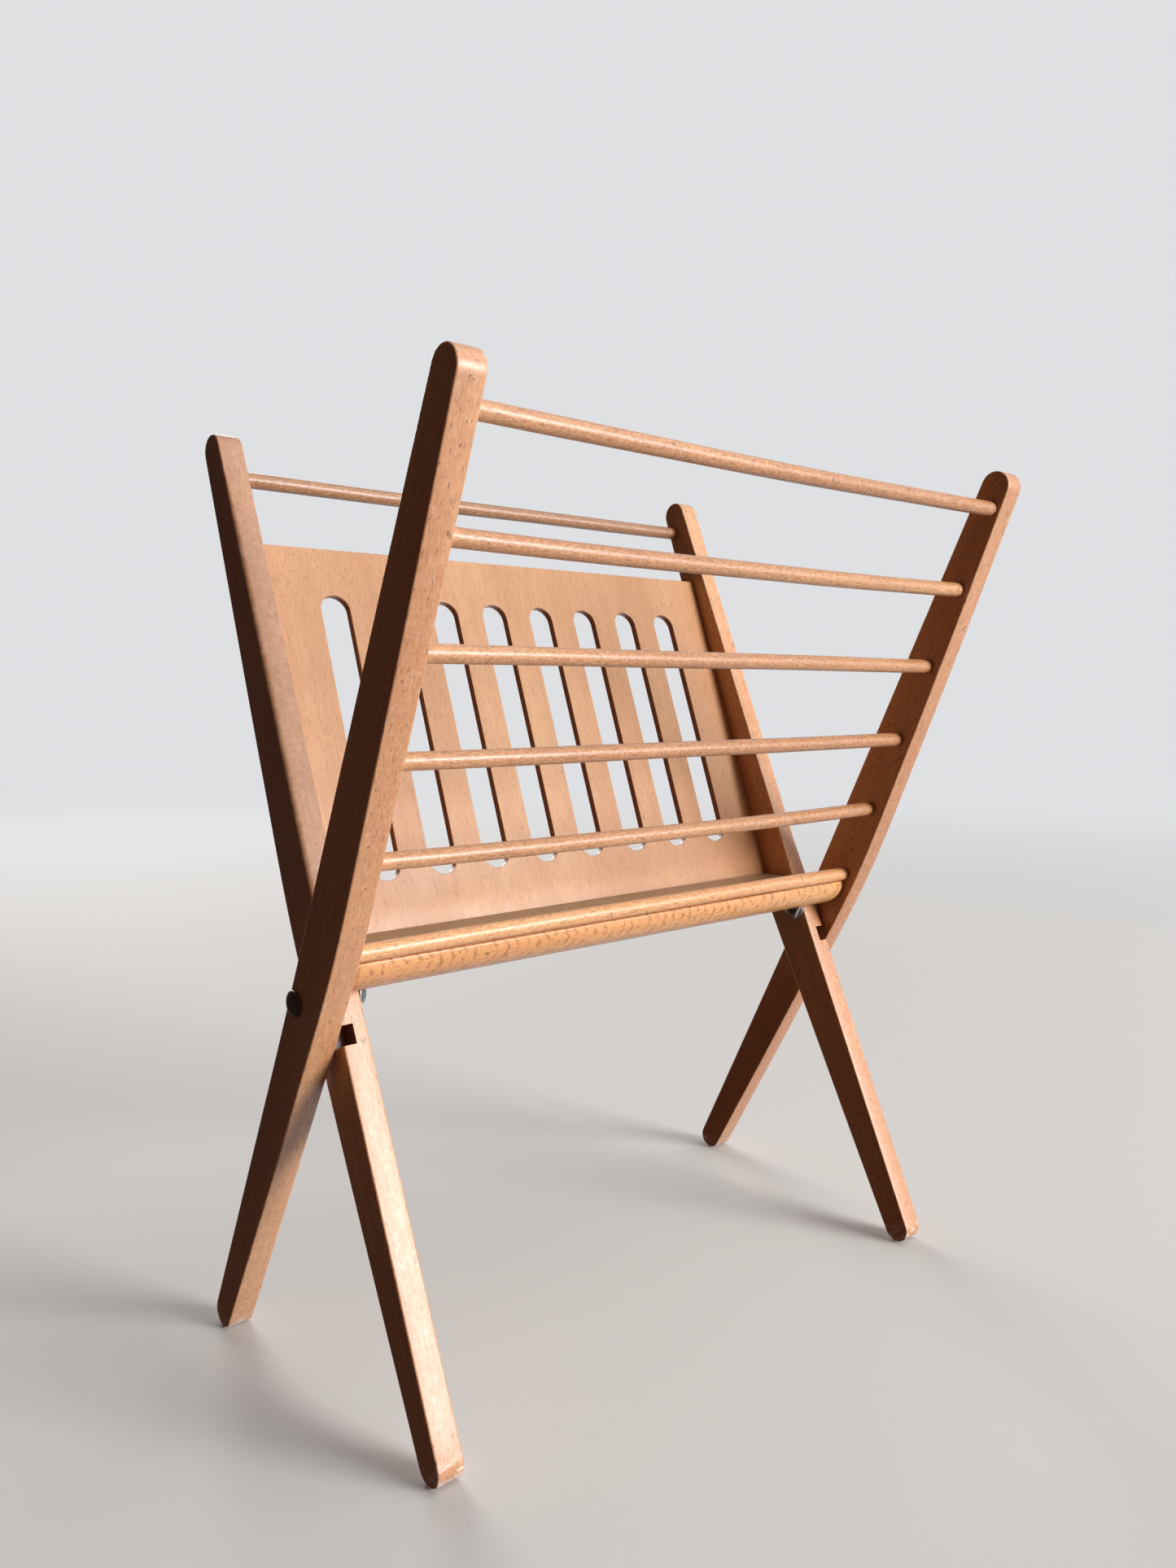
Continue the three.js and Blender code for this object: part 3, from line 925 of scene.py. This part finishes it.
def scuffed_feet(shader, colour, shift):
    """Ray dashes, and pale scuffs where a board's foot has been knocked and dragged."""
    colour = ray_dashes(shader, colour, shift)
    low = shader.range(shader.own("Z"), SCUFF_TOP * MM, (SCUFF_TOP - SCUFF_FADE) * MM)
    scrape = shader.noise((150, 150, 320), opposite(shift), 4, 0.7)
    pale = shader.math("MULTIPLY", low, shader.range(scrape, 0.50, 0.58, 0, 0.7))
    return shader.mix(pale, colour, SCUFFED_WOOD)


def scuffed_feet_shaded_top(shader, colour, shift):
    """Scuffed feet, and a greyer, browner upper half: painted shade, darker towards the top of the board."""
    colour = scuffed_feet(shader, colour, shift)
    patchy = shader.noise((60, 60, 14), shift, 3, 0.6)
    upper = shader.range(shader.own("Z"), UPPER_SHADE_RANGE[0] * MM, UPPER_SHADE_RANGE[1] * MM)
    # painted shade: the board's upper part is darkened in patches
    upper_shade = shader.math("MULTIPLY", upper, shader.range(patchy, 0.3, 0.7, 0.4, 0.75))
    return shader.mix(upper_shade, colour, UPPER_PAINTED_SHADE)


def speckle(shader, colour, shift):
    """The fine dark and pale speckle of turned beech."""
    dots = shader.noise((420, 1000, 1000), opposite(shift), 2, 0.6)
    colour = shader.mix(shader.range(dots, 0.50, 0.62, 0, 0.34), colour, DARK_SPECK)
    return shader.mix(shader.range(dots, 0.46, 0.36, 0, 0.25), colour, PALE_SPECK)


def flame(shader, colour, shift):
    """The rows of small brown arcs on beech cut along its rays, as on the front rail."""
    drift = shader.noise((9, 40, 40), shift, 2, 0.5)
    row = shader.math("SUBTRACT", shader.math("MULTIPLY", shader.own("Z"), 1 / (ARC_HEIGHT * MM)), drift)
    bow = shader.math("MULTIPLY", shader.math("MULTIPLY", row, row), ARC_BOW)
    ragged = shader.noise((120, 240, 240), shift, 2, 0.6)
    run = shader.math("ADD", shader.math("MULTIPLY", shader.own("X"), 1 / (ARC_PITCH * MM)), bow)
    run = shader.math("ADD", run, ragged)
    wave = shader.math("SINE", shader.math("MULTIPLY", run, 2 * math.pi))
    broken = shader.noise((90, 210, 210), opposite(shift), 2, 0.6)
    strength = shader.range(broken, 0.42, 0.56, 0, 0.62)
    arcs = shader.math("MULTIPLY", shader.range(wave, 0.35, 0.9), strength)
    return shader.mix(arcs, colour, ARC_BROWN)


def board_beech(name, seed, figure=scuffed_feet):
    return beech(name, seed, rgb(213, 157, 111), rgb(186, 124, 80), rgb(110, 62, 36), ALONG_Z, extra=figure)


# An inner board with painted shade on its upper part.
def shaded_top_beech(name, seed):
    return board_beech(name, seed, scuffed_feet_shaded_top)


# Dark colour of the notch's walls: painted shade in the recess, not the wood's own tone.
def notch_shade_beech(name, seed):
    return beech(name, seed, rgb(112, 62, 40), rgb(84, 44, 28), rgb(52, 28, 20), ALONG_Y)


def turned_beech(name, seed, tone, deep, fleck):
    return beech(name, seed, tone, deep, fleck, ALONG_X, end_grain=True, extra=speckle)


def dowel_beech(name, seed):
    return turned_beech(name, seed, rgb(214, 158, 108), rgb(182, 124, 80), rgb(104, 62, 38))


def ruddy_dowel_beech(name, seed):
    """The lowest rung, which is a warmer and paler stick than the rest."""
    return turned_beech(name, seed, rgb(238, 178, 122), rgb(218, 154, 98), rgb(118, 66, 36))


def shaded_dowel_beech(name, seed):
    """The stick between the inner boards' tips, painted browner as shade, where the light falls off up and
    back.
    """
    return turned_beech(name, seed, rgb(176, 126, 86), rgb(146, 98, 64), rgb(92, 54, 36))


def rail_beech(name, seed):
    tone = rgb(236, 174, 114)
    deep = rgb(214, 146, 86)
    return beech(name, seed, tone, deep, rgb(130, 76, 40), ALONG_X, end_grain=True, extra=flame)


# Greyer, darker tone: partly dust, partly painted shade under the lowest rung and the panel.
def floor_dust_and_shade_beech(name, seed):
    tone = rgb(170, 142, 106)
    return beech(name, seed, tone, rgb(142, 112, 82), rgb(92, 64, 44), ALONG_X, end_grain=True)


def plywood(name, seed):
    """Lacquered beech-faced plywood: rotary-cut figure on its faces, dark and light plies on its edges."""
    chance = random.Random(seed)
    shift = [chance.uniform(-3, 3) for _ in range(3)]
    shader = Shader(name)
    broad = shader.noise((14, 3, 5), shift, 3, 0.6, 0.5)
    band = shader.noise((130, 6, 40), shift, 4, 0.6, 0.8)
    short = shader.noise((1500, 260, 700), shift, 1, 0.5)
    fine = shader.noise((1200, 70, 600), shift, 3, 0.6)
    tone = rgb(200, 150, 104)
    deep = rgb(184, 129, 84)
    fleck = rgb(112, 64, 38)
    colour = shader.mix(shader.range(broad, 0.34, 0.66), tone, deep)
    colour = shader.mix(shader.range(band, 0.38, 0.7, 0, 0.45), colour, deep)
    colour = shader.mix(shader.range(fine, 0.42, 0.75, 0, 0.22), colour, fleck)
    flecks = shader.range(short, 0.62, 0.70, 0, 0.42)
    colour = shader.mix(flecks, colour, fleck)
    smudge = shader.noise((28, 28, 28), [shift[2], shift[0], shift[1]], 3, 0.7)
    colour = shader.mix(shader.range(smudge, 0.66, 0.78, 0, 0.35), colour, PANEL_SMUDGE)

    plies = shader.math("SINE", shader.math("MULTIPLY", shader.own("Z"), 2 * math.pi / (PLY_PAIR * MM)))
    edge_colour = shader.mix(shader.range(plies, -0.3, 0.3), rgb(158, 104, 72), rgb(196, 142, 102))
    front = (0, -math.cos(PANEL_LEAN), math.sin(PANEL_LEAN))
    edge = shader.range(shader.facing(front), 0.35, 0.75, 1, 0)
    colour = shader.mix(edge, colour, edge_colour)
    shader.join(colour, shader.surface.inputs["Base Color"])
    shader.join(shader.range(smudge, 0.3, 0.7, 0.36, 0.52), shader.surface.inputs["Roughness"])
    shader.surface.inputs["Coat Weight"].default_value = 0.2
    shader.surface.inputs["Coat Roughness"].default_value = 0.25
    height = shader.math("SUBTRACT", fine, shader.math("MULTIPLY", flecks, 0.7))
    shader.bump(height, 0.3, 0.1)
    return shader.material


def steel(name, seed, bright, dull, rust, low_rough, high_rough):
    """Old plated steel: dull blotches, a little brown tarnish and fine scratches."""
    chance = random.Random(seed)
    shift = [chance.uniform(-3, 3) for _ in range(3)]
    shader = Shader(name)
    blotch = shader.noise((300, 300, 300), shift, 4, 0.6)
    scratch = shader.noise((300, 2400, 900), shift, 2, 0.6)
    tarnish = shader.noise((480, 480, 480), opposite(shift), 3, 0.7)
    colour = shader.mix(shader.range(blotch, 0.35, 0.65), bright, dull)
    colour = shader.mix(shader.range(tarnish, 0.56, 0.70, 0, 0.5), colour, rust)
    shader.join(colour, shader.surface.inputs["Base Color"])
    shader.surface.inputs["Metallic"].default_value = 0.8
    dullness = shader.range(blotch, 0.3, 0.7, low_rough, high_rough)
    scoring = shader.range(scratch, 0.3, 0.7, -0.04, 0.06)
    shader.join(shader.math("ADD", dullness, scoring), shader.surface.inputs["Roughness"])
    shader.bump(shader.math("ADD", blotch, scratch), 0.25, 0.05)
    return shader.material


def dark_steel(name, seed):
    return steel(name, seed, rgb(112, 110, 100), rgb(80, 78, 70), rgb(78, 60, 46), 0.38, 0.55)


def zinc_steel(name, seed):
    return steel(name, seed, rgb(206, 206, 202), rgb(168, 168, 164), rgb(120, 100, 80), 0.42, 0.6)


def dull_zinc(name, seed):
    return steel(name, seed, rgb(112, 115, 114), rgb(82, 84, 84), rgb(86, 72, 58), 0.5, 0.65)


# ---- Assembly ----

def build_rack():
    for name, side in SIDES.items():
        build_side(name, side)
    for index in range(1, 7):
        finish = ruddy_dowel_beech if index == 6 else dowel_beech
        build_rung(f"rung_{index}", "outer_frame", finish(f"beech_rung_{index}", SEEDS["rung"] + index))
    build_rung("top_rung", "inner_frame", shaded_dowel_beech("beech_top_rung", SEEDS["top_rung"]))
    build_panel(plywood("plywood_panel", SEEDS["panel"]))
    build_floor_rail(floor_dust_and_shade_beech("beech_floor_rail", SEEDS["floor_rail"]))
    build_front_rail(rail_beech("beech_front_rail", SEEDS["front_rail"]))


def build_side(name, side):
    """The two boards of one side and the hardware that they turn on."""
    outer = f"outer_board_{name}"
    inner = f"inner_board_{name}"
    # the left inner board gets painted shade on its upper part
    inner_finish = shaded_top_beech if name == "left" else board_beech
    nut_finish = dull_zinc if name == "left" else zinc_steel
    nut_turn = 0.0 if name == "left" else forward_lean()
    build_board(outer, "outer_frame", side, -1, board_beech(f"beech_{outer}", SEEDS["outer_board"] + side))
    build_board(inner, "inner_frame", side, 1, inner_finish(f"beech_{inner}", SEEDS["inner_board"] + side))
    build_bolt(f"pivot_bolt_{name}", side, dark_steel(f"dark_steel_{name}", SEEDS["pivot_bolt"] + side))
    for kind, finish in (("nut_washer", "washer_zinc"), ("spacer_washer", "spacer_zinc")):
        material = zinc_steel(f"{finish}_{name}", SEEDS[kind] + side)
        build_washer(f"{kind}_{name}", side, "inner_frame", material)
    nut_material = nut_finish(f"nut_zinc_{name}", SEEDS["square_nut"] + side)
    build_nut(f"square_nut_{name}", side, nut_turn, nut_material)


def forward_lean():
    """How far the outer frame's tops lean forward."""
    matrix, _, _ = board_frame("outer_board_right", -1)
    up = matrix.col[2]
    return math.atan2(-up.y, up.z)


# ---- Stage: floor, light and camera ----

ROOM_BRIGHT = (0.68, 0.72, 0.77, 1.0)    # the pale room on the window's side
ROOM_DARK = (0.074, 0.046, 0.037, 1.0)   # and on the side away from it
ROOM_EDGE = (-0.1, 0.22)                 # directions along X between which one gives way to the other
BACKDROP = (0.735, 0.745, 0.765, 1.0)    # what shows behind the rack
FLOOR_REACH = 8                          # metres
FLOOR_FADE = (0.9, 3.2)                  # metres from the rack over which the floor melts into the backdrop
FOCAL_MM = 26.66
SENSOR_MM = 36
CAMERA_FROM_PIVOT = Vector((-503.2, -555.9, 177.3)) * MM
CAMERA_YAW = -0.714
CAMERA_PITCH = -0.096
CAMERA_ROLL = 0.015


def build_floor():
    mesh = bmesh.new()
    bmesh.ops.create_grid(mesh, x_segments=2, y_segments=2, size=FLOOR_REACH)
    data = bpy.data.meshes.new("floor")
    mesh.to_mesh(data)
    mesh.free()
    floor = bpy.data.objects.new("floor", data)
    bpy.context.scene.collection.objects.link(floor)
    shader = Shader("pale_floor")
    shader.surface.inputs["Base Color"].default_value = rgb(200, 197, 193)
    shader.surface.inputs["Roughness"].default_value = 0.8
    distance = shader.node("ShaderNodeVectorMath", operation="LENGTH")
    shader.join(shader.coords.outputs["Object"], distance.inputs[0])
    fade = shader.range(distance.outputs["Value"], *FLOOR_FADE, 1, 0)
    fade.node.interpolation_type = "SMOOTHSTEP"
    shader.join(fade, shader.surface.inputs["Alpha"])
    data.materials.append(shader.material)
    floor.visible_diffuse = False         # so that it throws no light up at the rack
    floor.visible_glossy = False


def build_light(name, place, aim, width, power, colour):
    lamp = bpy.data.lights.new(name, "AREA")
    lamp.shape = "DISK"
    lamp.size = width
    lamp.energy = power
    lamp.color = colour
    obj = bpy.data.objects.new(name, lamp)
    bpy.context.scene.collection.objects.link(obj)
    obj.location = place
    obj.rotation_euler = (Vector(aim) - Vector(place)).to_track_quat("-Z", "Y").to_euler()


def build_stage():
    build_floor()
    build_light("window", (2.1, -4.2, 1.5), (0, 0, 0.28), 2.4, 318, (1.0, 0.985, 0.985))
    build_light("top", (1.6, -1.2, 3.6), (0, 0, 0.3), 2.2, 26, (1.0, 0.99, 0.97))
    build_light("back", (0.9, 4.0, 1.9), (0, 0, 0.3), 2.4, 100, (1.0, 0.98, 0.95))
    build_world()
    bpy.context.scene.view_settings.view_transform = "Standard"


def build_world():
    """Light from a room, pale on the window's side and brown on the other, behind a plain backdrop."""
    world = bpy.data.worlds.new("studio")
    world.use_nodes = True
    nodes = world.node_tree.nodes
    links = world.node_tree.links
    coords = nodes.new("ShaderNodeTexCoord")
    split = nodes.new("ShaderNodeSeparateXYZ")
    across = nodes.new("ShaderNodeMapRange")
    across.interpolation_type = "SMOOTHSTEP"
    across.inputs["From Min"].default_value = ROOM_EDGE[0]
    across.inputs["From Max"].default_value = ROOM_EDGE[1]
    room = nodes.new("ShaderNodeMix")
    room.data_type = "RGBA"
    room.inputs["A"].default_value = ROOM_DARK
    room.inputs["B"].default_value = ROOM_BRIGHT
    rays = nodes.new("ShaderNodeLightPath")
    shown = nodes.new("ShaderNodeMix")
    shown.data_type = "RGBA"
    shown.inputs["B"].default_value = BACKDROP
    links.new(coords.outputs["Generated"], split.inputs["Vector"])
    links.new(split.outputs["X"], across.inputs["Value"])
    links.new(across.outputs["Result"], room.inputs["Factor"])
    links.new(rays.outputs["Is Camera Ray"], shown.inputs["Factor"])
    links.new(room.outputs["Result"], shown.inputs["A"])
    links.new(shown.outputs["Result"], nodes["Background"].inputs["Color"])
    bpy.context.scene.world = world


def build_camera():
    """The photograph's viewpoint: in front of the rack's left side, a little above the pivot."""
    forward = Vector((
        -math.sin(CAMERA_YAW) * math.cos(CAMERA_PITCH),
        math.cos(CAMERA_YAW) * math.cos(CAMERA_PITCH),
        math.sin(CAMERA_PITCH),
    ))
    right = Vector((math.cos(CAMERA_YAW), math.sin(CAMERA_YAW), 0))
    up = right.cross(forward)
    rolled_right = math.cos(CAMERA_ROLL) * right + math.sin(CAMERA_ROLL) * up
    rolled_up = math.cos(CAMERA_ROLL) * up - math.sin(CAMERA_ROLL) * right
    matrix = Matrix((rolled_right, rolled_up, -forward)).transposed().to_4x4()
    matrix.translation = PIVOT + CAMERA_FROM_PIVOT
    data = bpy.data.cameras.new("camera")
    data.lens = FOCAL_MM
    data.sensor_width = SENSOR_MM
    camera = bpy.data.objects.new("camera", data)
    bpy.context.scene.collection.objects.link(camera)
    camera.matrix_world = matrix
    bpy.context.scene.camera = camera


build_rack()
build_stage()
build_camera()

bpy.context.view_layer.update()
